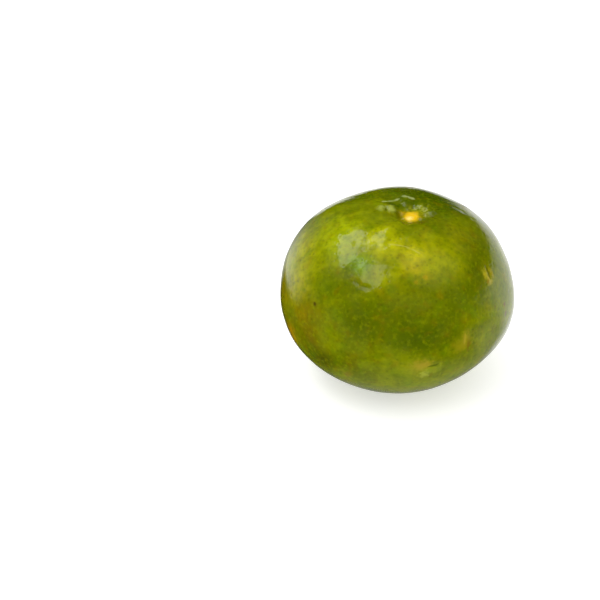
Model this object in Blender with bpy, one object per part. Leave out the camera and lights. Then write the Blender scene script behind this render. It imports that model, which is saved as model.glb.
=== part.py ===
# A whole satsuma mandarin, picked with its stem gone. The peel, the scar that the stem left and the
# blossom end underneath grew as one skin, so the fruit is one solid. Sizes are in metres.

import math

import bmesh
import bpy
from mathutils import Matrix, Vector

# The plain body, in the fruit's own frame with the stem end at +Z
HALF_WIDTH = 0.0298
HALF_HEIGHT = 0.0238
FULLNESS = 2.22  # 2 is an ellipse, and more gives fuller shoulders
STEM_HALF_TAPER = 0.040  # the half towards the stem is this share narrower
STEM_SHIFT = Vector((0.0024, -0.0014, 0.0))  # how far the stem end sits off the middle
STEM_SHIFT_FADE = 4  # how fast that shift fades down the side, as a power of the height

# The hollow at the stem end and the folds that run out of it
HOLLOW_DEPTH = 0.0024
HOLLOW_RADIUS = 0.0051
HOLLOW_PLACE = Vector((-0.0010, 0.0003))  # its middle, as seen from the scar
FOLD_COUNT = 8
FOLD_TURN = math.radians(97.0)  # one fold stands at this azimuth
FOLD_HEIGHT = 0.00026
FOLD_UNEVENNESS = 0.5  # of their spacing and their strength
FOLD_RADIUS = 0.0064  # where the folds stand highest

# The stem's scar, a low button in the hollow
SCAR_RADIUS = 0.0021
SCAR_EDGE = 0.0008
SCAR_HEIGHT = 0.00045

# The blossom end, a faint pit with a point in it
PIT_DEPTH = 0.00035
PIT_RADIUS = 0.0020
POINT_HEIGHT = 0.00020
POINT_RADIUS = 0.0008

# Broad swellings and flats that keep the fruit from being a turned shape: each one's azimuth and
# height above the equator in degrees, and how far it stands out
SWELL_SPREAD = math.radians(22.0)
SWELLS = (
    (10.0, 15.0, -0.00025),
    (50.0, 45.0, -0.00055),
    (85.0, -65.0, 0.00045),
    (130.0, 45.0, -0.00095),
    (160.0, 20.0, -0.00050),
    (185.0, -5.0, -0.00035),
    (280.0, -55.0, 0.00035),
    (320.0, -40.0, -0.00060),
    (350.0, -10.0, 0.00100),
)

# How the fruit lies, with its front at -Y: the stem end leans forwards and to the right
LEAN_FORWARDS = math.radians(5.0)
LEAN_RIGHT = math.radians(2.5)
RESTING_DEPTH = 0.00040  # how far the skin is pressed flat under the fruit's weight

# Facets: rings are close where the surface has folds, and wider over the smooth sides
SEGMENTS = 64
STEM_REACH = 0.50  # polar angle that the folds reach
STEM_RINGS = 24
SIDE_RINGS = 40
BLOSSOM_REACH = 0.26
BLOSSOM_RINGS = 9
MERGE_DISTANCE = 0.000001

PEEL_COLOUR = (0.185, 0.200, 0.010, 1.0)
PEEL_ROUGHNESS = 0.32


def remove_everything():
    for scene_object in list(bpy.data.objects):
        bpy.data.objects.remove(scene_object, do_unlink=True)


def peel_material():
    material = bpy.data.materials.new("peel")
    material.use_nodes = True
    shader = material.node_tree.nodes["Principled BSDF"]
    shader.inputs["Base Color"].default_value = PEEL_COLOUR
    shader.inputs["Roughness"].default_value = PEEL_ROUGHNESS
    shader.inputs["Metallic"].default_value = 0.0
    return material


def bell(distance, reach):
    return math.exp(-((distance / reach) ** 2))


def ramp(value, start, end):
    # Runs smoothly from 0 at start to 1 at end
    share = min(max((value - start) / (end - start), 0.0), 1.0)
    return share * share * (3.0 - 2.0 * share)


def ring_angles():
    side_end = math.pi - BLOSSOM_REACH
    stem = [STEM_REACH * ring / STEM_RINGS for ring in range(STEM_RINGS)]
    side = [
        STEM_REACH + (side_end - STEM_REACH) * ring / SIDE_RINGS for ring in range(SIDE_RINGS)
    ]
    blossom = [side_end + BLOSSOM_REACH * ring / BLOSSOM_RINGS for ring in range(BLOSSOM_RINGS + 1)]
    return stem + side + blossom


def profile_point(angle):
    # The plain body's profile in the XZ plane, from the stem end down to the blossom end
    across = math.sin(angle)
    along = math.cos(angle)
    fill = (across**FULLNESS + abs(along) ** FULLNESS) ** (-1.0 / FULLNESS)
    taper = 1.0 - STEM_HALF_TAPER * along
    return Vector((HALF_WIDTH * across * fill * taper, 0.0, HALF_HEIGHT * along * fill))


def outward(point):
    # The direction that the plain body's surface faces
    slope = Vector((point.x / HALF_WIDTH**2, point.y / HALF_WIDTH**2, point.z / HALF_HEIGHT**2))
    return slope.normalized()


def stem_relief(point):
    from_scar = point.to_2d()
    from_hollow = from_scar - HOLLOW_PLACE
    hollow = -HOLLOW_DEPTH * bell(from_hollow.length, HOLLOW_RADIUS)
    outside_scar = ramp(from_scar.length, SCAR_RADIUS, SCAR_RADIUS + SCAR_EDGE)
    azimuth = math.atan2(from_scar.y, from_scar.x)
    uneven = FOLD_UNEVENNESS * math.sin(2.0 * azimuth)
    wave = math.cos(FOLD_COUNT * (azimuth - FOLD_TURN) + uneven)
    strength = 1.0 + FOLD_UNEVENNESS * math.cos(3.0 * azimuth)
    reach = (from_hollow.length / FOLD_RADIUS) ** 2
    folds = FOLD_HEIGHT * wave * strength * reach * math.exp(1.0 - reach)
    return hollow + folds * outside_scar + SCAR_HEIGHT * (1.0 - outside_scar)


def blossom_relief(point):
    across = point.to_2d().length
    return POINT_HEIGHT * bell(across, POINT_RADIUS) - PIT_DEPTH * bell(across, PIT_RADIUS)


def swell_relief(point):
    rise = 0.0
    for azimuth, latitude, height in SWELLS:
        turn = math.radians(azimuth)
        tilt = math.radians(latitude)
        level = math.cos(tilt)
        centre = Vector((math.cos(turn) * level, math.sin(turn) * level, math.sin(tilt)))
        rise += height * bell(point.angle(centre), SWELL_SPREAD)
    return rise


def raise_relief(mesh):
    for vertex in mesh.verts:
        point = vertex.co.copy()
        rise = swell_relief(point)
        if point.z > 0.0:
            rise += stem_relief(point)
        else:
            rise += blossom_relief(point)
        towards_stem = max(point.z / HALF_HEIGHT, 0.0) ** STEM_SHIFT_FADE
        vertex.co = point + outward(point) * rise + STEM_SHIFT * towards_stem


def lay_down(mesh):
    # Leans the fruit, then presses its lowest skin flat on the surface that it rests on
    lean = Matrix.Rotation(LEAN_RIGHT, 4, "Y") @ Matrix.Rotation(LEAN_FORWARDS, 4, "X")
    bmesh.ops.transform(mesh, matrix=lean, verts=mesh.verts)
    across = [vertex.co.x for vertex in mesh.verts]
    along = [vertex.co.y for vertex in mesh.verts]
    lowest = min(vertex.co.z for vertex in mesh.verts)
    to_middle = Vector((
        -(min(across) + max(across)) / 2.0,
        -(min(along) + max(along)) / 2.0,
        -(lowest + RESTING_DEPTH),
    ))
    bmesh.ops.translate(mesh, vec=to_middle, verts=mesh.verts)
    for vertex in mesh.verts:
        vertex.co.z = max(vertex.co.z, 0.0)


def build_mandarin():
    mesh = bmesh.new()
    profile = [mesh.verts.new(profile_point(angle)) for angle in ring_angles()]
    edges = [mesh.edges.new(pair) for pair in zip(profile, profile[1:])]
    bmesh.ops.spin(
        mesh,
        geom=profile + edges,
        cent=(0.0, 0.0, 0.0),
        axis=(0.0, 0.0, 1.0),
        angle=math.tau,
        steps=SEGMENTS,
        use_merge=True,
    )
    bmesh.ops.remove_doubles(mesh, verts=mesh.verts, dist=MERGE_DISTANCE)
    raise_relief(mesh)
    lay_down(mesh)
    bmesh.ops.recalc_face_normals(mesh, faces=mesh.faces)
    bmesh.ops.triangulate(mesh, faces=mesh.faces)
    data = bpy.data.meshes.new("mandarin")
    mesh.to_mesh(data)
    mesh.free()
    data.materials.append(peel_material())
    data.shade_smooth()
    mandarin = bpy.data.objects.new("mandarin", data)
    bpy.context.scene.collection.objects.link(mandarin)
    return mandarin


remove_everything()
build_mandarin()
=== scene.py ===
# The looks of a whole satsuma mandarin: its waxy green peel with the scar that the stem left, the
# pale floor that it rests on, the studio light and the camera. Lengths are in metres.
import math
import random

import bpy
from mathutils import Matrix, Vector, geometry


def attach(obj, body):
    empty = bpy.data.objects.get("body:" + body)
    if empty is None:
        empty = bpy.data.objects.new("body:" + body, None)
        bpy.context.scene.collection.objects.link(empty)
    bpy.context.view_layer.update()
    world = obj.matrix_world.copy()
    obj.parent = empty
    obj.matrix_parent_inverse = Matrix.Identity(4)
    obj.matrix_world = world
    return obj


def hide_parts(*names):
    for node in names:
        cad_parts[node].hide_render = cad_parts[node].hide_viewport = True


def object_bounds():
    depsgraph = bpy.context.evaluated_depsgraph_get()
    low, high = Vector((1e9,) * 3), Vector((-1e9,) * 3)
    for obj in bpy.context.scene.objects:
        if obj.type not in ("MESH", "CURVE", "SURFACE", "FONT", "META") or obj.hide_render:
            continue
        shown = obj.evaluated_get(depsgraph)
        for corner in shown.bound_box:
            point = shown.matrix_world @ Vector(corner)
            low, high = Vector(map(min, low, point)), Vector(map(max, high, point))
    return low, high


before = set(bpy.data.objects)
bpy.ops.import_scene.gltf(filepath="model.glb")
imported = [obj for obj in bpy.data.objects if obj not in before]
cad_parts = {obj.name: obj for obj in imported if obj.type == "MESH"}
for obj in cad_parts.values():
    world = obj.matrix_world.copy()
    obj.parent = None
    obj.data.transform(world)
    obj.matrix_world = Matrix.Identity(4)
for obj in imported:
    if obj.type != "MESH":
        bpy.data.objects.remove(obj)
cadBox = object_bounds()
fruitMiddle = (cadBox[0] + cadBox[1]) / 2
fruitSize = cadBox[1] - cadBox[0]
mm = 0.001
farAway = 1.0  # past every reach that is given here


# Small helpers for selecting and for wiring nodes

def pickOnly(piece):
    bpy.ops.object.select_all(action="DESELECT")
    piece.select_set(True)
    bpy.context.view_layer.objects.active = piece


def selectPoints(piece, wanted):
    # Goes to edit mode with only the wanted points selected
    bpy.ops.object.mode_set(mode="EDIT")
    bpy.ops.mesh.select_mode(type="VERT")
    bpy.ops.mesh.select_all(action="DESELECT")
    bpy.ops.object.mode_set(mode="OBJECT")
    for point in piece.data.vertices:
        point.select = wanted(point.co)
    bpy.ops.object.mode_set(mode="EDIT")


def applyModifiers(piece):
    pickOnly(piece)
    for modifier in list(piece.modifiers):
        bpy.ops.object.modifier_apply(modifier=modifier.name)


def addNode(tree, kind, inputs=None, **settings):
    node = tree.nodes.new(kind)
    for name, value in settings.items():
        setattr(node, name, value)
    for name, value in (inputs or {}).items():
        if isinstance(value, bpy.types.NodeSocket):
            tree.links.new(value, node.inputs[name])
        else:
            node.inputs[name].default_value = value
    return node


def mathNode(tree, operation, first, second=0.0):
    return addNode(tree, "ShaderNodeMath", {0: first, 1: second}, operation=operation).outputs[0]


def mixColours(tree, share, first, second):
    mix = addNode(tree, "ShaderNodeMix", {0: share, 6: first, 7: second}, data_type="RGBA")
    return mix.outputs[2]


def vectorNode(tree, operation, first, second=(0.0, 0.0, 0.0)):
    # A length, a distance and a dot product come out as a number, the rest as a vector
    node = addNode(tree, "ShaderNodeVectorMath", {0: first, 1: second}, operation=operation)
    return node.outputs["Value" if operation in ("LENGTH", "DISTANCE", "DOT_PRODUCT") else "Vector"]


def scaleNode(tree, vector, factor):
    node = addNode(tree, "ShaderNodeVectorMath", {0: vector, "Scale": factor}, operation="SCALE")
    return node.outputs[0]


def fade(tree, value, start, end, first=0.0, last=1.0):
    # Runs smoothly from first to last as the value goes from start to end
    node = addNode(tree, "ShaderNodeMapRange",
                   {0: value, 1: start, 2: end, 3: first, 4: last}, interpolation_type="SMOOTHSTEP")
    return node.outputs[0]


def between(tree, value, start, end, softStart, softEnd):
    # 1 from start to end, with soft ends
    rising = fade(tree, value, start - softStart, start + softStart)
    falling = fade(tree, value, end - softEnd, end + softEnd, 1.0, 0.0)
    return mathNode(tree, "MULTIPLY", rising, falling)


def noise(tree, point, size, detail=2.0, output="Fac"):
    node = addNode(tree, "ShaderNodeTexNoise", {"Vector": point, "Scale": 1 / size, "Detail": detail})
    return node.outputs[output]


def cells(tree, point, spacing, unevenness=1.0):
    # Scattered cells: how far away the nearest one's middle is, and a colour of its own
    return addNode(tree, "ShaderNodeTexVoronoi", {
        "Vector": point, "Scale": 1 / spacing, "Randomness": unevenness}).outputs


def paint(red, green, blue):
    # A colour given as on a colour picker, 0 to 255, as the shader wants it
    share = [value / 255 for value in (red, green, blue)]
    return [part / 12.92 if part <= 0.04045 else ((part + 0.055) / 1.055) ** 2.4
            for part in share] + [1.0]


# The camera, where the photograph's seems to have stood

camera = {
    "lens": 100,
    "sensor": 36,
    "distance": 0.4269,
    "lookDown": math.radians(30),
    "aim": Vector((-0.0249, -0.0024, 0.02075)),
    "nearest": 0.01,
    "farthest": 20,
}


def addCamera():
    away = Vector((0, -math.cos(camera["lookDown"]), math.sin(camera["lookDown"])))
    bpy.ops.object.camera_add(location=camera["aim"] + away * camera["distance"],
                              rotation=(math.radians(90) - camera["lookDown"], 0, 0))
    eye = bpy.context.object
    eye.name = "photoCamera"
    eye.data.lens = camera["lens"]
    eye.data.sensor_width = camera["sensor"]
    eye.data.clip_start = camera["nearest"]
    eye.data.clip_end = camera["farthest"]
    bpy.context.scene.camera = eye


addCamera()
print("camera placed")


# The peel: a cube rounded into a fine even ball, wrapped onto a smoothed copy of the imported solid

peel = {
    "firstCuts": 6,
    "roundings": 4,
    "looseFit": 1.08,  # the ball starts this much larger than the fruit
    "mergeDistance": 0.001 * mm,
    "flatness": math.radians(40),  # two triangles within these become one four-sided face
    "squareness": math.radians(60),
    "smoothings": 2,
    "dentCore": 0.32 * mm,  # points this close to a dent's line are pushed, and their neighbours follow
    "dentSpan": 12 * mm,  # no dent is longer than this on either side of its middle
    "foldCore": 0.2 * mm,
    "waves": [
        ("broadWaves", 11 * mm, 0.14 * mm),
        ("fineWaves", 4.2 * mm, 0.075 * mm),
        ("finestWaves", 1.9 * mm, 0.034 * mm),
    ],
}

glands = {
    "spacing": 1.18 * mm,
    "unevenness": 0.9,
    "pitDepth": 0.026 * mm,
    "pitReach": 0.42,  # of the spacing
    "colourReach": (0.05, 0.462),  # of the spacing
}

dimples = {
    "spacing": 3.6 * mm,
    "depth": 0.060 * mm,
    "reach": 0.26,  # of the spacing
    "colourReach": (0.03, 0.15),  # of the spacing
}

scar = {
    "place": Vector((2.82, -3.95, 45.3)) * mm,
    "radius": 2.5 * mm,
    "fineReach": 12.0 * mm,  # the peel's faces are finer within this
    "finestReach": 4.4 * mm,
    "glandsFrom": 1.4,  # of the radius, where the glands are at their full depth
    "crease": (1.10, 1.18),  # of the radius
    "creaseReach": 0.3,  # of the radius
    "creaseDepth": 0.07 * mm,
    "crumbFade": (1.0, 1.8),  # of the radius
    "crumbSize": 0.55 * mm,
    "crumbHeight": 0.05 * mm,
}

# Small dents and creases, most of them in front, where the window's reflection breaks up, and one broad
# flat: each one's line of places as azimuth and latitude in degrees, its reach and its depth in millimetres
dents = [
    ("dent in the glow", [(-130, 48), (-129, 48)], 1.1, 0.13),
    ("dent beside it", [(-121, 50), (-119, 47)], 1.2, 0.15),
    ("third dent", [(-116, 50), (-115, 50)], 1.0, 0.12),
    ("crease across the glow", [(-113, 45), (-118, 40), (-123, 32)], 1.6, 0.10),
    ("crack under the glow", [(-117, 29), (-114, 27), (-110, 27)], 0.9, 0.07),
    ("fold in front of the scar", [(-103, 52), (-89, 51), (-78, 46)], 1.1, 0.05),
    ("small dent low in the glow", [(-108, 23.5), (-107.5, 23.5)], 0.7, 0.07),
    ("hollow behind on the right", [(8, 57), (4, 52)], 1.2, 0.08),
    ("crease low on the right", [(-77, -12.4), (-72, -11.8)], 0.9, 0.06),
    ("hollow of the tall scar", [(-34, 27), (-35, 23)], 1.0, 0.05),
    ("flat low on the right", [(-20, -17), (-31, -25)], 10.0, 0.20),
]

# Furrows and swellings round the scar, in millimetres: each one's line of places to the right of and
# behind the scar's middle, how far its sides reach and how far it rises
stemFolds = [
    ("back of the scar", [(-1.0, 1.6), (1.0, 1.6)], 1.9, 0.28),
    ("front of the scar", [(-1.2, -1.7), (1.2, -1.7)], 1.9, -0.30),
    ("nub on the scar", [(-0.55, -0.45), (-0.35, -0.45)], 0.55, 0.18),
    ("furrow in front", [(-2.4, -2.2), (-1.2, -3.1), (1.2, -3.1)], 1.3, -0.20),
    ("furrow on the left", [(-2.9, -0.6), (-3.1, 1.6)], 1.1, -0.24),
    ("swelling on the left", [(-4.3, 1.4), (-5.2, 3.2)], 1.5, 0.42),
    ("furrow past it", [(-6.1, 1.0), (-6.5, 3.2)], 0.8, -0.22),
    ("second swelling on the left", [(-6.9, 1.4), (-7.7, 3.2)], 1.5, 0.36),
    ("rim behind on the right", [(1.8, 4.6), (3.0, 4.0), (4.4, 2.6), (5.2, 0.8)], 1.3, 0.32),
    ("notch in that rim", [(2.8, 3.2), (4.0, 4.4)], 0.6, -0.30),
    ("second notch", [(4.4, 1.2), (5.8, 1.8)], 0.5, -0.25),
    ("crest behind", [(-0.3, 4.2), (-0.8, 7.2)], 2.4, -0.30),
    ("furrow far behind on the left", [(-7.8, 6.2), (-5.3, 5.2), (-2.8, 6.0)], 1.3, -0.22),
    ("furrow far behind", [(-2.2, 7.1), (-0.4, 8.1), (1.6, 6.9)], 1.3, -0.22),
]


def fromScar(point):
    # How far a point of the stem end is from the scar's middle, as seen from above
    return (point.xy - scar["place"].xy).length if point.z > fruitMiddle.z else farAway


def smoothForm(node):
    form = node.copy()
    form.data = node.data.copy()
    bpy.context.scene.collection.objects.link(form)
    pickOnly(form)
    bpy.ops.object.mode_set(mode="EDIT")
    bpy.ops.mesh.select_all(action="SELECT")
    bpy.ops.mesh.remove_doubles(threshold=peel["mergeDistance"])
    bpy.ops.mesh.tris_convert_to_quads(face_threshold=peel["flatness"],
                                       shape_threshold=peel["squareness"])
    bpy.ops.object.mode_set(mode="OBJECT")
    smooth = form.modifiers.new("smooth", "SUBSURF")
    smooth.levels = smooth.render_levels = peel["smoothings"]
    applyModifiers(form)
    return form


def roundBall():
    bpy.ops.object.select_all(action="DESELECT")
    bpy.ops.mesh.primitive_cube_add(size=fruitSize.x * peel["looseFit"], location=fruitMiddle)
    ball = bpy.context.object
    bpy.ops.object.mode_set(mode="EDIT")
    bpy.ops.mesh.subdivide(number_cuts=peel["firstCuts"])
    bpy.ops.transform.tosphere(value=1)
    for _ in range(peel["roundings"]):
        bpy.ops.mesh.subdivide(number_cuts=1)
        bpy.ops.transform.tosphere(value=1)
    bpy.ops.object.mode_set(mode="OBJECT")
    reach = max(point.co.length for point in ball.data.vertices)
    half = fruitSize * peel["looseFit"] / 2
    bpy.ops.object.mode_set(mode="EDIT")
    bpy.ops.transform.resize(value=half / reach)
    bpy.ops.object.mode_set(mode="OBJECT")
    bpy.ops.object.transform_apply(location=True, rotation=True, scale=True)
    return ball


def refineStemEnd(skin):
    # Without faces of many sides, which would give slivers once they are cut into triangles
    for reach in (scar["fineReach"], scar["finestReach"]):
        selectPoints(skin, lambda point: fromScar(point) < reach)
        bpy.ops.mesh.subdivide(number_cuts=1, ngon=False)
        bpy.ops.object.mode_set(mode="OBJECT")


def wrap(skin, form):
    snap = skin.modifiers.new("wrap", "SHRINKWRAP")
    snap.target = form
    snap.wrap_method = "PROJECT"
    snap.use_negative_direction = True
    snap.use_positive_direction = True
    applyModifiers(skin)


def pushByClouds(skin, name, size, height, detail, level, where=""):
    # At a level of 1 the skin goes only inwards, and at 0.5 as much outwards
    clouds = bpy.data.textures.new(name, "CLOUDS")
    clouds.noise_scale = size
    clouds.noise_depth = detail
    push = skin.modifiers.new(name, "DISPLACE")
    push.texture = clouds
    push.vertex_group = where
    push.strength = height
    push.mid_level = level
    applyModifiers(skin)


def glandPitTree():
    tree = bpy.data.node_groups.new("glandPits", "GeometryNodeTree")
    tree.interface.new_socket("Geometry", in_out="INPUT", socket_type="NodeSocketGeometry")
    tree.interface.new_socket("Geometry", in_out="OUTPUT", socket_type="NodeSocketGeometry")
    start = addNode(tree, "NodeGroupInput")
    end = addNode(tree, "NodeGroupOutput")
    point = addNode(tree, "GeometryNodeInputPosition").outputs[0]
    gland = cells(tree, point, glands["spacing"], glands["unevenness"])
    pits = fade(tree, gland["Distance"], 0.0, glands["pitReach"], -glands["pitDepth"], 0.0)
    dimple = cells(tree, point, dimples["spacing"])
    hollows = fade(tree, dimple["Distance"], 0.0, dimples["reach"], -dimples["depth"], 0.0)
    scarAway = vectorNode(tree, "DISTANCE", point, scar["place"])
    share = fade(tree, scarAway, scar["radius"], scar["radius"] * scar["glandsFrom"])
    depth = mathNode(tree, "MULTIPLY", mathNode(tree, "ADD", pits, hollows), share)
    facing = addNode(tree, "GeometryNodeInputNormal").outputs[0]
    moved = addNode(tree, "GeometryNodeSetPosition", {
        "Geometry": start.outputs[0], "Offset": scaleNode(tree, facing, depth)})
    tree.links.new(moved.outputs[0], end.inputs[0])
    return tree


def sinkPits(skin):
    pits = skin.modifiers.new("pits", "NODES")
    pits.node_group = glandPitTree()
    applyModifiers(skin)


def pushPoints(skin, wanted, move, reach):
    selectPoints(skin, wanted)
    bpy.ops.transform.translate(value=move, use_proportional_edit=True,
                                proportional_edit_falloff="SMOOTH", proportional_size=reach)
    bpy.ops.object.mode_set(mode="OBJECT")


def onPeel(skin, azimuth, latitude):
    # The point of the peel that lies that way from the fruit's middle, both in degrees
    turn, rise = math.radians(azimuth), math.radians(latitude)
    way = Vector((math.cos(turn) * math.cos(rise), math.sin(turn) * math.cos(rise), math.sin(rise)))
    outside = fruitMiddle + way * fruitSize.x
    return skin.ray_cast(outside, -way)[1]


def awayFromLine(point, line):
    nearest = farAway
    for start, end in zip(line, line[1:]):
        foot, share = geometry.intersect_point_line(point, start, end)
        foot = start.lerp(end, min(max(share, 0.0), 1.0))
        nearest = min(nearest, (point - foot).length)
    return nearest


def sinkDents(skin):
    for _, places, reach, depth in dents:
        line = [onPeel(skin, *place) for place in places]
        middle = line[len(line) // 2]
        inwards = (fruitMiddle - middle).normalized() * depth * mm
        pushPoints(skin, lambda point: (point - middle).length < peel["dentSpan"]
                   and awayFromLine(point, line) < peel["dentCore"], inwards, reach * mm)
    print("dents:", len(dents))


def foldStemEnd(skin):
    middle = scar["place"].xy
    for _, places, reach, rise in stemFolds:
        line = [(middle + Vector(place) * mm).to_3d() for place in places]
        pushPoints(skin, lambda point: fromScar(point) < scar["fineReach"]
                   and awayFromLine(point.xy.to_3d(), line) < peel["foldCore"],
                   (0, 0, rise * mm), reach * mm)
    print("stem end:", len(stemFolds), "furrows and swellings")


def crumbleScar(skin):
    # A crease round the disc, and crumbs on it that fade past its edge
    radius = scar["radius"]
    inner, outer = scar["crease"]
    pushPoints(skin, lambda point: radius * inner < fromScar(point) < radius * outer,
               (0, 0, -scar["creaseDepth"]), radius * scar["creaseReach"])
    crumbs = skin.vertex_groups.new(name="scarDisc")
    fullTo, noneFrom = scar["crumbFade"]
    for point in skin.data.vertices:
        away = fromScar(point.co) / radius
        if away < noneFrom:
            share = min(1.0, (noneFrom - away) / (noneFrom - fullTo))
            crumbs.add([point.index], share, "REPLACE")
    pushByClouds(skin, "crumbs", scar["crumbSize"], scar["crumbHeight"], 2, 0.5, crumbs.name)
    skin.vertex_groups.clear()


def fitToSolid(skin):
    # The waves and pits only go inwards, so the skin is let out again to the solid's own box
    points = [point.co for point in skin.data.vertices]
    low = Vector([min(point[axis] for point in points) for axis in range(3)])
    high = Vector([max(point[axis] for point in points) for axis in range(3)])
    growth = [fruitSize[axis] / (high - low)[axis] for axis in range(3)]
    selectPoints(skin, lambda point: True)
    bpy.ops.transform.translate(value=fruitMiddle - (low + high) / 2)
    bpy.ops.transform.resize(value=growth, center_override=fruitMiddle)
    bpy.ops.object.mode_set(mode="OBJECT")


def buildPeel():
    form = smoothForm(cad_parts["mandarin"])
    skin = roundBall()
    skin.name = skin.data.name = "peelSkin"
    refineStemEnd(skin)
    wrap(skin, form)
    bpy.data.objects.remove(form, do_unlink=True)
    foldStemEnd(skin)
    crumbleScar(skin)
    sinkDents(skin)
    for name, size, height in peel["waves"]:
        pushByClouds(skin, name, size, height, 1, 1.0)
    sinkPits(skin)
    fitToSolid(skin)
    pickOnly(skin)
    bpy.ops.object.shade_smooth()
    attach(skin, "root")
    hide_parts("mandarin")
    print("peel:", len(skin.data.polygons), "faces,",
          sum(len(face.vertices) - 2 for face in skin.data.polygons), "triangles")
    return skin


peelSkin = buildPeel()


# Groups that the peel's material uses many times

# How far an edge is soft, how far it wanders and the grain of that in millimetres, and how far a hairline
# wanders and its grain
edges = {
    "patch": (1.0, 0.6, 4.5),
    "blemish": (0.9, 1.3, 0.9),
    "scarGrain": 1.0,
    "disc": (0.4, 0.3, 0.9),
    "lineWander": 0.8 * mm,
    "lineGrain": 1.6 * mm,
}


def newGroup(name, inputs, outputs):
    tree = bpy.data.node_groups.new(name, "ShaderNodeTree")
    for title, kind in inputs:
        tree.interface.new_socket(title, in_out="INPUT", socket_type=kind)
    for title, kind in outputs:
        tree.interface.new_socket(title, in_out="OUTPUT", socket_type=kind)
    return tree, addNode(tree, "NodeGroupInput").outputs, addNode(tree, "NodeGroupOutput").inputs


def blotchGroup():
    # A soft-edged patch round a middle, with an edge that wanders
    tree, given, result = newGroup("blotch", [
        ("Point", "NodeSocketVector"), ("Middle", "NodeSocketVector"), ("Reach", "NodeSocketVector"),
        ("Softness", "NodeSocketFloat"), ("Wander", "NodeSocketFloat"), ("Grain", "NodeSocketFloat"),
    ], [("Mask", "NodeSocketFloat")])
    offset = vectorNode(tree, "SUBTRACT", given["Point"], given["Middle"])
    distance = vectorNode(tree, "LENGTH", vectorNode(tree, "DIVIDE", offset, given["Reach"]))
    ragged = addNode(tree, "ShaderNodeTexNoise", {
        "Vector": given["Point"], "Scale": given["Grain"], "Detail": 3.0}).outputs["Fac"]
    shift = mathNode(tree, "MULTIPLY", mathNode(tree, "SUBTRACT", ragged, 0.5), given["Wander"])
    start = mathNode(tree, "SUBTRACT", 1.0, given["Softness"])
    mask = fade(tree, mathNode(tree, "ADD", distance, shift), start, 1.0, 1.0, 0.0)
    tree.links.new(mask, result["Mask"])
    return tree


def hairlineGroup():
    # A fine wandering line from a start to an end, thinner towards both
    tree, given, result = newGroup("hairline", [
        ("Point", "NodeSocketVector"), ("Start", "NodeSocketVector"), ("End", "NodeSocketVector"),
        ("Width", "NodeSocketFloat"), ("Wander", "NodeSocketFloat"),
    ], [("Mask", "NodeSocketFloat")])
    ragged = vectorNode(tree, "SUBTRACT", noise(tree, given["Point"], edges["lineGrain"], 3.0, "Color"),
                        (0.5, 0.5, 0.5))
    moved = vectorNode(tree, "ADD", given["Point"], scaleNode(tree, ragged, given["Wander"]))
    offset = vectorNode(tree, "SUBTRACT", moved, given["Start"])
    along = vectorNode(tree, "SUBTRACT", given["End"], given["Start"])
    reached = vectorNode(tree, "DOT_PRODUCT", offset, along)
    whole = vectorNode(tree, "DOT_PRODUCT", along, along)
    share = addNode(tree, "ShaderNodeMath", {0: reached, 1: whole},
                    operation="DIVIDE", use_clamp=True).outputs[0]
    away = vectorNode(tree, "DISTANCE", offset, scaleNode(tree, along, share))
    taper = fade(tree, mathNode(tree, "ABSOLUTE", mathNode(tree, "SUBTRACT", share, 0.5)),
                 0.25, 0.55, 1.0, 0.3)
    width = mathNode(tree, "MULTIPLY", given["Width"], taper)
    mask = fade(tree, mathNode(tree, "DIVIDE", away, width), 0.0, 1.0, 1.0, 0.0)
    tree.links.new(mask, result["Mask"])
    return tree


groups = {"blotch": blotchGroup(), "hairline": hairlineGroup()}


def groupMask(tree, group, values):
    return addNode(tree, "ShaderNodeGroup", values, node_tree=groups[group]).outputs["Mask"]


def blotchMask(tree, point, middle, reach, softness, wander, grain):
    # The reach is in millimetres, one for all ways or one for each axis
    reach = reach if isinstance(reach, tuple) else (reach, reach, reach)
    return groupMask(tree, "blotch", {
        "Point": point, "Middle": middle, "Reach": Vector(reach) * mm,
        "Softness": softness, "Wander": wander, "Grain": 1 / (grain * mm)})


# The peel's colours, mostly as its own colour under even light, with painted light where the window's light
# falls on the top and front, painted shade in front and low on the left, painted reflections of orange
# fruit pieces on the left, and a painted highlight and painted glints among the fine lines. Each patch
# has its azimuth and latitude in degrees, how far it reaches in millimetres, or along X, Y and Z, its
# colour and its strength.

greens = {
    "plain": paint(102, 110, 0),
    "deep": paint(76, 92, 0),
    "bright": paint(148, 156, 2),
    "rusty": paint(130, 100, 0),
    "fresh": paint(88, 122, 0),
    "gland": paint(58, 70, 0),
}

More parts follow.
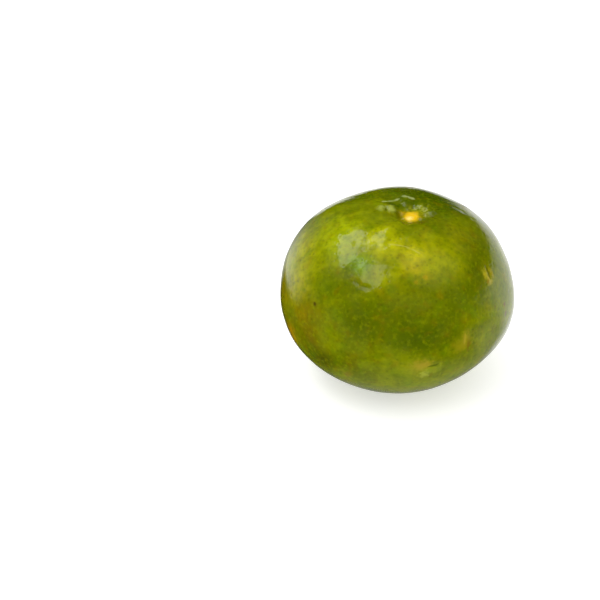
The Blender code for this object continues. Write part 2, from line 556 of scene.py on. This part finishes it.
patches = [
    ("light left side", -166, 27, (14, 14, 14), paint(160, 160, 2), 0.95),
    ("light shoulder behind it", 176, 52, 11, paint(136, 147, 2), 0.85),
    # The glows are partly the peel's yellower green and partly painted light where the window's light falls
    # on the top and front
    ("glow on the left of the top", -143, 50, 12, paint(164, 176, 6), 0.92),
    ("glow where the window shows", -110, 53, 10, paint(182, 184, 3), 0.96),
    ("glow in front of the scar", -80, 44, (11, 9, 8), paint(194, 188, 4), 0.97),
    ("glow on the right", -58, 39, 9, paint(154, 158, 2), 0.88),
    ("glow lower down", -103, 35, 8, paint(158, 162, 2), 0.85),
    ("ochre in the glow", -84, 38, (4.5, 4, 3), paint(184, 158, 4), 0.45),
    ("fresh green across the glow", -119, 38, (5.4, 5.4, 3.6), paint(122, 160, 26), 0.85),
    ("end of the glow", -87, 26, (8, 6, 5), paint(114, 121, 0), 0.60),
    # Darker green in front, partly the peel's own deeper green and partly painted shade
    ("dark front", -84, 4, (19, 9, 10), paint(70, 86, 0), 0.97),
    ("dark front on the left", -112, 11, (12, 9, 8), paint(78, 90, 0), 0.92),
    ("dark front, upper right", -57, 20, 8, paint(88, 101, 0), 0.88),
    ("dark band on the right", -42, 29, 6.5, paint(85, 94, 0), 0.92),
    ("dark by the shoulder", -46, 60, 5, paint(94, 102, 0), 0.80),
    ("olive on the shoulder", -36, 47, 6.5, paint(128, 126, 0), 0.85),
    ("dark at the shoulder's edge", -28, 39, (4, 5, 5), paint(94, 102, 0), 0.75),
    ("dark behind the scar", 36, 69, (16, 12, 9), paint(54, 76, 0), 0.97),
    ("dark right of the scar", 2, 61, 8, paint(66, 84, 0), 0.95),
    ("dark green far behind", 104, 70, 6, paint(74, 94, 0), 0.80),
    ("green behind on the left", 135, 60, 9, paint(88, 106, 0), 0.85),
    ("light right side", -29, 8, (8, 13, 10), paint(112, 121, 0), 0.90),
    ("right side, low", -38, -14, 9, paint(97, 105, 0), 0.75),
    # Lighter low in front, partly the peel's own lighter green and partly painted light thrown up from the
    # pale floor
    ("light low in front", -84, -29, (18, 10, 7.0), paint(124, 132, 0), 0.90),
    ("light low on the right", -61, -10, 7, paint(109, 117, 0), 0.80),
    ("dark green on the left", -132, 22, 6, paint(90, 108, 0), 0.80),
    # Ochre on the left: partly the peel's own blush and partly a painted reflection of orange fruit pieces
    # beside it
    ("ochre on the left", -143, 4, 8.5, paint(134, 112, 0), 0.94),
    ("ochre low on the left", -137, -8, 7, paint(101, 88, 0), 0.92),
    ("olive low in front", -116, -14, (10, 7, 7), paint(92, 93, 0), 0.90),
    # Painted shade low on the left, where the fruit comes down to the floor
    ("painted shade low on the left", -133, -17, (9.5, 8.5, 7), paint(66, 68, 0), 0.94),
    ("light left side, low", -154, 14, (8, 8, 6.5), paint(164, 156, 4), 0.85),
    # The pale and orange left edge: partly the peel's own blush and partly a painted reflection of orange
    # fruit pieces beside it
    ("pale left edge", -168, 5, (5, 10, 9), paint(136, 120, 2), 0.85),
    ("orange blush and painted reflection at the left edge", -158, -14, (4.0, 7, 7), paint(186, 130, 4), 0.85),
    ("blush on the back", 140, 8, (12, 10, 9), paint(144, 128, 2), 0.60),
    ("light on the back", 95, 32, (12, 9, 9), paint(132, 140, 2), 0.70),
    ("dark on the back", 62, -6, (13, 9, 10), paint(82, 96, 0), 0.80),
    ("light low on the back", 110, -28, (12, 9, 7), paint(122, 126, 2), 0.60),
    ("pale round the blossom end", -90, -89, (9, 9, 4), paint(134, 130, 6), 0.60),
]

blemishes = [
    ("dark speck on the left", -137, 12, 0.65, paint(48, 38, 4), 0.95),
    ("its soft edge", -137.5, 12, 1.4, paint(92, 80, 6), 0.45),
    ("pale round the tall scar", -35, 25, (3.2, 3.2, 4.6), paint(128, 126, 8), 0.55),
    ("tall scar, left arm", -37.2, 25, (1.4, 1.4, 3.4), paint(172, 158, 32), 0.80),
    ("tall scar, right arm", -31.8, 24, (1.2, 1.2, 3.2), paint(156, 142, 28), 0.70),
    ("tall scar, foot", -35.8, 21, (1.6, 1.6, 1.4), paint(172, 158, 52), 0.75),
    ("brown spot in its foot", -37.6, 21.4, 0.8, paint(128, 104, 4), 0.80),
    ("forked scar, its foot", -60, -4, (3.6, 3.4, 2.8), paint(154, 136, 20), 0.80),
    ("forked scar, its head", -58.5, -1, (1.9, 1.9, 3.2), paint(158, 140, 26), 0.70),
    ("forked scar, its side", -56.5, -5, (1.0, 1.0, 2.4), paint(108, 76, 16), 0.75),
    ("pale round the fork", -61, -3, (4.6, 4.4, 4.2), paint(112, 118, 4), 0.55),
    ("rusty spot low in front", -80.5, -11.5, (3.6, 2.8, 2.3), paint(172, 134, 44), 0.75),
    ("pale round it", -82.5, -12, (6.2, 4.6, 4.4), paint(138, 138, 20), 0.60),
    ("light spot beside it", -75.5, -14.5, (4.2, 3.0, 2.0), paint(130, 144, 24), 0.60),
    ("light spot under it", -79.0, -17.5, (2.2, 1.8, 1.7), paint(156, 162, 52), 0.65),
    ("light spot on the other side", -89, -14, (3.6, 2.6, 2.4), paint(124, 136, 8), 0.50),
    ("faint brown low on the left", -118, -22, (1.4, 1.4, 2.0), paint(112, 84, 24), 0.50),
    ("green spot low on the left", -108, -12, (3.2, 2.4, 2.4), paint(118, 134, 6), 0.50),
    ("brown speck on the right", -28, 5, (0.9, 0.9, 1.0), paint(98, 70, 30), 0.75),
    ("brown speck below it", -27, -0.5, (1.0, 1.0, 1.2), paint(100, 70, 36), 0.80),
    ("third brown speck", -37, 8, 0.60, paint(98, 74, 20), 0.60),
    ("orange speck in the glow", -77, 33, 0.9, paint(184, 146, 4), 0.35),
    ("second orange speck", -83, 31, 0.8, paint(172, 138, 4), 0.35),
]

# Fine lines: each one's start and end, its width in millimetres, its colour and its strength
hairlines = [
    # Painted highlight along the fold in front of the scar
    ("painted highlight on the fold, left half", (-103, 52), (-89, 51), 0.40, paint(190, 188, 80), 0.45),
    ("painted highlight on the fold, right half", (-89, 51), (-77, 46), 0.40, paint(190, 188, 80), 0.45),
    ("crack under the glow, left", (-117, 29), (-114, 27), 0.45, paint(84, 96, 0), 0.60),
    ("crack under the glow, right", (-114, 27), (-110, 27), 0.45, paint(84, 96, 0), 0.60),
    ("crease low on the right", (-77.5, -12.5), (-71.5, -11.8), 0.55, paint(64, 78, 0), 0.75),
    ("forked scar, its stem", (-58.5, 1.5), (-59, -4), 0.65, paint(166, 148, 40), 0.55),
    ("glint far behind on the left", (158, 78.2), (148, 80.8), 0.60, paint(180, 192, 120), 0.60),
    ("its right half", (148, 80.8), (88, 81.2), 0.60, paint(180, 192, 120), 0.60),
    ("glint far behind", (82, 79.2), (66, 77.7), 0.60, paint(180, 192, 120), 0.60),
    ("the right half of that", (66, 77.7), (43, 76.8), 0.60, paint(180, 192, 120), 0.60),
    ("scratch behind on the right", (9, 58), (4, 51), 0.50, paint(128, 134, 50), 0.50),
    ("gap in the tall scar", (-33.5, 29.5), (-35.2, 22), 0.60, paint(92, 88, 0), 0.80),
    ("line low on the left", (-121, -20), (-117, -25), 0.40, paint(104, 82, 26), 0.40),
    ("scratch on the back", (118, 22), (131, 14), 0.40, paint(150, 140, 40), 0.50),
    ("scratch on the left", (170, 10), (163, 24), 0.35, paint(148, 138, 40), 0.45),
]

# The first mix of the plain and the bright green, and how far noise warps it
firstMix = {
    "size": 14,
    "span": (0.35, 0.7),
    "most": 0.5,
    "warpSize": 9 * mm,
    "warpShift": 4 * mm,
}

# Finer colours that noise lays over the patches: each one's name, the kind of place that it reads, its
# size in millimetres and its detail, the noise values where it starts and is full, its colour and how
# strongly it shows there
mottling = [
    ("broad mottling", "warped", 5.0, 4.0, (0.35, 0.75), greens["deep"], 0.46),
    ("fine mottling", "own", 1.7, 3.0, (0.35, 0.75), greens["deep"], 0.42),
    ("rust", "moved", 2.6, 3.0, (0.5, 0.8), greens["rusty"], 0.32),
    ("fresh green", "movedElsewhere", 3.2, 3.0, (0.5, 0.75), greens["fresh"], 0.30),
    ("flecks", "moved", 1.0, 2.0, (0.45, 0.8), greens["bright"], 0.30),
]

# More light flecks on the upper left
leftFlecks = {
    "middle": (-170, 49),
    "reach": 12,
    "size": 1.5,
    "detail": 3.0,
    "span": (0.50, 0.72),
    "most": 0.60,
}

# How deeply the glands' and the dimples' colour shows
pitShares = {
    "glands": (0.2, 0.30),
    "dimples": 0.38,
}

# Small marks scattered round the back, which the photograph doesn't show
backMarks = {
    "seed": 12,
    "count": 18,
    "azimuth": (0, 180),
    "latitude": (-45, 50),
    "reach": (0.4, 1.3),
    "tones": [paint(124, 96, 30), paint(148, 134, 40), paint(64, 54, 10)],
    "strength": (0.35, 0.65),
}

# Colours round the scar, with painted highlights on its swellings and its pale specks and painted shade in
# its furrows and just inside its far rim, then the corky disc with its ochre edge and its cream nub, in
# millimetres: each one's place to the right of and behind the scar's middle, its reach along X, Y and Z,
# how far its edge is soft and wanders, its strength and its colour
discReach = scar["radius"] / mm

# Painted highlights: pale specks where the bumps right of and behind the scar catch the light
paintedGlintSpecks = {
    "place": (1.8, 2.6),
    "reach": (5.6, 4.0, 3.0),
    "edge": (0.8, 0.8),
    "size": 0.8,
    "detail": 3.0,
    "span": (0.40, 0.62),
    "most": 0.85,
    "tone": paint(150, 156, 30),
}

scarLayers = [
    ("light behind it", (1.4, 1.6), (4.2, 3.0, 3.0), (0.9, 0.8), 0.55, paint(142, 144, 14)),
    # Painted highlights on the two swellings on the left
    ("swelling on the left", (-4.9, 2.5), (1.4, 2.0, 3.0), (0.8, 0.8), 0.80, paint(168, 178, 82)),
    ("second swelling", (-7.7, 2.5), (1.7, 2.1, 3.0), (0.8, 0.8), 0.80, paint(168, 178, 82)),
    # Painted shade in the groove between them and in the furrow on the left
    ("painted shade between them", (-6.4, 2.3), (0.5, 1.5, 3.0), (0.8, 0.5), 0.80, paint(72, 78, 0)),
    ("furrow on the left", (-3.3, 1.4), (1.2, 3.0, 3.0), (0.9, 0.5), 0.65, paint(88, 82, 0)),
    ("dark before the swellings", (-6.2, -0.4), (3.6, 1.2, 3.0), (0.9, 0.6), 0.50, paint(84, 90, 0)),
    # Painted shade in the furrow in front, below the disc
    ("furrow in front", (0.6, -3.3), (4.6, 1.6, 3.0), (0.9, 0.5), 0.75, paint(92, 74, 0)),
    ("dark on the right", (4.9, -0.9), (1.0, 1.0, 3.0), (0.9, 0.6), 0.50, paint(80, 74, 0)),
    # Painted shade just inside the far rim, below its glints
    ("dark behind on the left", (-4.4, 4.9), (4.8, 1.6, 3.0), (0.9, 0.6), 0.85, paint(54, 76, 0)),
    ("dark behind", (0.2, 6.0), (3.6, 1.9, 3.0), (0.9, 0.6), 0.75, paint(60, 82, 0)),
    ("olive round the disc", (0.0, 0.0), (discReach * 1.45, discReach * 1.40, 3.0), (0.8, 0.6), 0.75,
     paint(156, 138, 2)),
    ("ochre edge", (-1.8, 2.0), (1.8, 2.2, 2.5), (1.0, 0.6), 0.75, paint(182, 146, 2)),
    ("disc", (-0.1, 0.1), (discReach, discReach * 1.08, 2.0), (0.6, 0.5), 1.0, paint(226, 184, 0)),
    ("nub", (-0.55, -0.45), (1.35, 1.30, 1.5), (0.9, 0.4), 0.92, paint(248, 228, 122)),
]

# The peel's wax: noise takes its roughness from the first value to the last, and the scar's disc is rougher
wax = {
    "roughness": (0.07, 0.15),
    "sheenSize": 5 * mm,
    "sheenSpan": (0.38, 0.62),
    "discReach": (discReach * 1.1, discReach * 1.1, 2.0),
    "discRoughness": 0.10,
    "grainSize": 0.35 * mm,
    "grainShare": 0.2,
    "bumpHeight": 0.011 * mm,
    "ior": 1.42,
    "subsurface": 0.12,
    "subsurfaceRadius": (1.0, 0.6, 0.15),
    "subsurfaceScale": 1.2 * mm,
}


def scatteredBlemishes():
    draw = random.Random(backMarks["seed"])
    return [("small mark %d" % number, draw.uniform(*backMarks["azimuth"]),
             draw.uniform(*backMarks["latitude"]), draw.uniform(*backMarks["reach"]),
             draw.choice(backMarks["tones"]), draw.uniform(*backMarks["strength"]))
            for number in range(backMarks["count"])]


def noiseShare(tree, point, size, detail, span, most):
    return fade(tree, noise(tree, point, size * mm, detail), *span, 0.0, most)


def layOver(tree, colour, mask, strength, tone):
    return mixColours(tree, mathNode(tree, "MULTIPLY", mask, strength), colour, tone)


def layBlotches(tree, point, colour, rows, edge):
    for _, azimuth, latitude, reach, tone, strength in rows:
        mask = blotchMask(tree, point, onPeel(peelSkin, azimuth, latitude), reach, *edges[edge])
        colour = layOver(tree, colour, mask, strength, tone)
    return colour


def layFlecksOnTheLeft(tree, point, warped, colour):
    middle = onPeel(peelSkin, *leftFlecks["middle"])
    mask = blotchMask(tree, point, middle, leftFlecks["reach"], *edges["patch"])
    flecks = noiseShare(tree, warped, leftFlecks["size"], leftFlecks["detail"], leftFlecks["span"],
                        leftFlecks["most"])
    return layOver(tree, colour, mask, flecks, greens["bright"])


def layHairlines(tree, point, colour):
    lines = 0.0
    for _, start, end, width, tone, strength in hairlines:
        mask = groupMask(tree, "hairline", {
            "Point": point, "Start": onPeel(peelSkin, *start), "End": onPeel(peelSkin, *end),
            "Width": width * mm, "Wander": edges["lineWander"]})
        colour = layOver(tree, colour, mask, strength, tone)
        lines = mathNode(tree, "MAXIMUM", mask, lines)
    return colour, lines


def peelColour(tree, point, dots):
    # Broad patches first, then mottling, glands, blemishes and hairlines
    shift = noise(tree, point, firstMix["warpSize"], 2.0, "Color")
    warped = addNode(tree, "ShaderNodeVectorMath", {
        0: shift, 1: [firstMix["warpShift"]] * 3, 2: point}, operation="MULTIPLY_ADD").outputs[0]
    places = {
        "own": point,
        "warped": warped,
        "moved": vectorNode(tree, "ADD", point, (0.1, 0.0, 0.0)),
        "movedElsewhere": vectorNode(tree, "ADD", point, (0.0, 0.1, 0.0)),
    }
    mix = noiseShare(tree, warped, firstMix["size"], 2.0, firstMix["span"], firstMix["most"])
    colour = mixColours(tree, mix, greens["plain"], greens["bright"])
    colour = layBlotches(tree, point, colour, patches, "patch")
    for _, place, size, detail, span, tone, most in mottling:
        colour = mixColours(tree, noiseShare(tree, places[place], size, detail, span, most), colour, tone)
    colour = layFlecksOnTheLeft(tree, point, warped, colour)
    colour = mixColours(tree, dots, colour, greens["gland"])
    colour = layBlotches(tree, point, colour, blemishes + scatteredBlemishes(), "blemish")
    return layHairlines(tree, point, colour)


def scarBlotch(tree, point, place, reach, edge):
    middle = scar["place"] + Vector((*place, 0.0)) * mm
    return blotchMask(tree, point, middle, reach, *edge, edges["scarGrain"])


def scarColour(tree, point, colour):
    specks = noiseShare(tree, point, paintedGlintSpecks["size"], paintedGlintSpecks["detail"], paintedGlintSpecks["span"],
                        paintedGlintSpecks["most"])
    mask = scarBlotch(tree, point, paintedGlintSpecks["place"], paintedGlintSpecks["reach"], paintedGlintSpecks["edge"])
    colour = layOver(tree, colour, mask, specks, paintedGlintSpecks["tone"])
    for _, place, reach, edge, strength, tone in scarLayers:
        mask = scarBlotch(tree, point, place, reach, edge)
        colour = layOver(tree, colour, mask, strength, tone)
    return colour


def addPeelMaterial(skin):
    material = bpy.data.materials.new("waxyPeel")
    material.use_nodes = True
    tree = material.node_tree
    shader = tree.nodes["Principled BSDF"]
    point = addNode(tree, "ShaderNodeTexCoord").outputs["Object"]
    gland = cells(tree, point, glands["spacing"], glands["unevenness"])
    pits = fade(tree, gland["Distance"], *glands["colourReach"], 1.0, 0.0)
    darkness = addNode(tree, "ShaderNodeSeparateColor", {0: gland["Color"]}).outputs[0]
    dots = mathNode(tree, "MULTIPLY", pits, fade(tree, darkness, 0.0, 1.0, *pitShares["glands"]))
    dimple = cells(tree, point, dimples["spacing"])
    marks = fade(tree, dimple["Distance"], *dimples["colourReach"], pitShares["dimples"], 0.0)
    colour, lines = peelColour(tree, point, mathNode(tree, "MAXIMUM", dots, marks))
    colour = scarColour(tree, point, colour)
    tree.links.new(colour, shader.inputs["Base Color"])
    disc = blotchMask(tree, point, scar["place"], wax["discReach"], *edges["disc"])
    sheen = fade(tree, noise(tree, point, wax["sheenSize"], 3.0), *wax["sheenSpan"], *wax["roughness"])
    rough = mathNode(tree, "ADD", sheen, mathNode(tree, "MULTIPLY", disc, wax["discRoughness"]))
    tree.links.new(rough, shader.inputs["Roughness"])
    grain = mathNode(tree, "MULTIPLY", noise(tree, point, wax["grainSize"], 3.0), wax["grainShare"])
    height = mathNode(tree, "SUBTRACT", grain, mathNode(tree, "ADD", pits, lines))
    bump = addNode(tree, "ShaderNodeBump", {
        "Height": height, "Distance": wax["bumpHeight"], "Strength": 1.0})
    tree.links.new(bump.outputs[0], shader.inputs["Normal"])
    shader.inputs["IOR"].default_value = wax["ior"]
    shader.inputs["Subsurface Weight"].default_value = wax["subsurface"]
    shader.inputs["Subsurface Radius"].default_value = wax["subsurfaceRadius"]
    shader.inputs["Subsurface Scale"].default_value = wax["subsurfaceScale"]
    skin.data.materials.clear()
    skin.data.materials.append(material)
    print("peel material:", len(tree.nodes), "nodes")


addPeelMaterial(peelSkin)


# A plain pale floor that glows a little, as a light table does, and soft light from a tall window on
# the left. In the gloss the fruit shows the pale table only at its sides, close by and just behind it,
# and past the table a pale wall on the left and a faint ceiling.

floor = {
    "size": 4.0,
    "tone": (0.80, 0.80, 0.80, 1.0),
    "roughness": 0.8,
    "specular": 0.2,
    "glow": 0.50,
}

# What the gloss shows. Turns and rises are in degrees, the turns from straight behind the fruit to the
# right, and Soft says how soft the ends of the turns are. A glow starts at its From and ends at its Reach.
# The ceiling's glows are round: each has its middle's turn and rise, and how far off it ends and is full.
mirrored = {
    "footGlow": 0.28,
    "footReach": (30 * mm, 52 * mm),
    "footAcross": (-27 * mm, -7 * mm),  # along X, dark left of it
    "footLeft": 0.04,  # its share there
    "rimGlow": 0.55,  # close behind on the left
    "rimTurns": (-42, -18),
    "rimSoft": (6, 3),
    "rimReach": (80 * mm, 140 * mm),
    "tableGlow": 1.10,
    "tableFrom": (11 * mm, 36 * mm),
    "tableTurns": (17, 90),
    "tableSoft": (4, 17),
    "tableRise": (1, 8),
    "frontGlow": 0.50,  # close by on the right, in front of that
    "frontTurns": (80, 118),
    "frontSoft": (14, 10),
    "frontReach": (60 * mm, 110 * mm),
    "behindGlow": 1.10,
    "behindTurns": (-16, 17),
    "behindSoft": (3, 3),
    "behindReach": (200 * mm, 320 * mm),
    "wallGlow": 1.20,
    "wallTurns": (-73, -29),
    "wallSoft": (18, 18),
    "wallRise": (-8, 32),
    "wallFrom": (80 * mm, 112 * mm),
    "ceilingGlow": 0.50,
    "ceilingWay": (130, 77),
    "ceilingReach": (16, 3),
    "cornerGlow": 0.38,  # lower on the ceiling
    "cornerWay": (124, 56),
    "cornerReach": (29, 4),
    "haloGlow": 0.50,  # round the window's panes
    "haloWay": (-88, 60),
    "haloReach": (32, 8),
}

# Each pane: its name, where it hangs over the fruit and its size, both for one metre of height, its turn
# in degrees and its share of the radiance
window = {
    "height": 0.8,
    "radiance": 2.5,
    "panes": [
        ("paneBack", (-0.66, 0.33), (0.46, 0.92), -14.0, 1.0),
        ("paneSmall", (-0.20, 0.31), (0.22, 0.38), -16.0, 0.85),
        ("paneFront", (-0.47, -0.52), (0.42, 0.74), -26.0, 0.72),
    ],
}

room = {
    "seen": 1.0,  # the pale background that the camera sees past the floor
    "soft": 1.25,  # the light from all round
}


def turnMask(tree, turn, part):
    values = mirrored[part + "Turns"] + mirrored[part + "Soft"]
    return between(tree, turn, *[math.radians(value) for value in values])


def roomPart(tree, turn, rise, part):
    # A part of the room that ends above its rise
    start, end = [math.radians(value) for value in mirrored[part + "Rise"]]
    height = fade(tree, rise, start, end, mirrored[part + "Glow"], 0.0)
    return mathNode(tree, "MULTIPLY", turnMask(tree, turn, part), height)


def floorPart(tree, turn, away, part):
    glow = mirrored[part + "Glow"]
    if part + "From" in mirrored:
        strength = fade(tree, away, *mirrored[part + "From"], 0.0, glow)
    else:
        strength = fade(tree, away, *mirrored[part + "Reach"], glow, 0.0)
    return mathNode(tree, "MULTIPLY", turnMask(tree, turn, part), strength)


def mirroredFloor(tree):
    # How bright the floor is in the gloss
    point = addNode(tree, "ShaderNodeTexCoord").outputs["Object"]
    across, along, _ = addNode(tree, "ShaderNodeSeparateXYZ", {0: point}).outputs
    turn = mathNode(tree, "ARCTAN2", across, along)
    away = vectorNode(tree, "LENGTH", point)
    near = fade(tree, away, *mirrored["footReach"], mirrored["footGlow"], 0.0)
    foot = mathNode(tree, "MULTIPLY", near,
                    fade(tree, across, *mirrored["footAcross"], mirrored["footLeft"], 1.0))
    sides = 0.0
    for part in ("wall", "behind", "rim", "front"):
        sides = mathNode(tree, "MAXIMUM", floorPart(tree, turn, away, part), sides)
    sides = mathNode(tree, "MULTIPLY", sides, fade(tree, away, *mirrored["footReach"]))
    sides = mathNode(tree, "MAXIMUM", floorPart(tree, turn, away, "table"), sides)
    return mathNode(tree, "ADD", foot, sides)


def roomGlow(tree, way, part):
    # A soft round glow in the room
    turn, rise = [math.radians(value) for value in mirrored[part + "Way"]]
    towards = Vector((math.sin(turn) * math.cos(rise), math.cos(turn) * math.cos(rise), math.sin(rise)))
    facing = vectorNode(tree, "DOT_PRODUCT", way, towards)
    edge, middle = [math.cos(math.radians(value)) for value in mirrored[part + "Reach"]]
    return fade(tree, facing, edge, middle, 0.0, mirrored[part + "Glow"])


def mirroredRoom(tree):
    # How bright the room past the floor is in the gloss
    way = addNode(tree, "ShaderNodeTexCoord").outputs["Generated"]
    across, along, up = addNode(tree, "ShaderNodeSeparateXYZ", {0: way}).outputs
    turn = mathNode(tree, "ARCTAN2", across, along)
    rise = mathNode(tree, "ARCSINE", up)
    glow = mathNode(tree, "ADD", roomPart(tree, turn, rise, "wall"), roomPart(tree, turn, rise, "table"))
    for part in ("ceiling", "corner", "halo"):
        glow = mathNode(tree, "ADD", glow, roomGlow(tree, way, part))
    return glow


def addFloor():
    bpy.ops.object.select_all(action="DESELECT")
    bpy.ops.mesh.primitive_plane_add(size=floor["size"], location=(0, 0, 0))
    ground = bpy.context.object
    ground.name = ground.data.name = "floor"
    material = bpy.data.materials.new("paleFloor")
    material.use_nodes = True
    tree = material.node_tree
    shader = tree.nodes["Principled BSDF"]
    shader.inputs["Base Color"].default_value = floor["tone"]
    shader.inputs["Roughness"].default_value = floor["roughness"]
    shader.inputs["Specular IOR Level"].default_value = floor["specular"]
    shader.inputs["Emission Color"].default_value = (1.0, 1.0, 1.0, 1.0)
    shader.inputs["Emission Strength"].default_value = floor["glow"]
    rays = addNode(tree, "ShaderNodeLightPath").outputs
    gloss = addNode(tree, "ShaderNodeEmission", {"Strength": mirroredFloor(tree)})
    mixed = addNode(tree, "ShaderNodeMixShader", {
        0: rays["Is Glossy Ray"], 1: shader.outputs[0], 2: gloss.outputs[0]})
    tree.links.new(mixed.outputs[0], tree.nodes["Material Output"].inputs["Surface"])
    ground.data.materials.append(material)


def addWindow():
    for name, place, size, turn, share in window["panes"]:
        height = window["height"]
        bpy.ops.object.light_add(type="AREA", rotation=(0, 0, math.radians(turn)),
                                 location=fruitMiddle + Vector((*place, 1.0)) * height)
        pane = bpy.context.object
        pane.name = name
        pane.data.shape = "RECTANGLE"
        pane.data.size = size[0] * height
        pane.data.size_y = size[1] * height
        pane.data.energy = share * window["radiance"] * math.pi * pane.data.size * pane.data.size_y


def addRoom():
    world = bpy.data.worlds.new("studio")
    bpy.context.scene.world = world
    world.use_nodes = True
    tree = world.node_tree
    tree.nodes.clear()
    rays = addNode(tree, "ShaderNodeLightPath").outputs
    strength = addNode(tree, "ShaderNodeMix", {
        0: rays["Is Glossy Ray"], 2: room["soft"], 3: mirroredRoom(tree)}, data_type="FLOAT").outputs[0]
    strength = addNode(tree, "ShaderNodeMix", {
        0: rays["Is Camera Ray"], 2: strength, 3: room["seen"]}, data_type="FLOAT").outputs[0]
    light = addNode(tree, "ShaderNodeBackground", {"Strength": strength})
    addNode(tree, "ShaderNodeOutputWorld", {0: light.outputs[0]})


addFloor()
addWindow()
addRoom()
bpy.context.scene.view_settings.view_transform = "Standard"
print("floor and light placed")
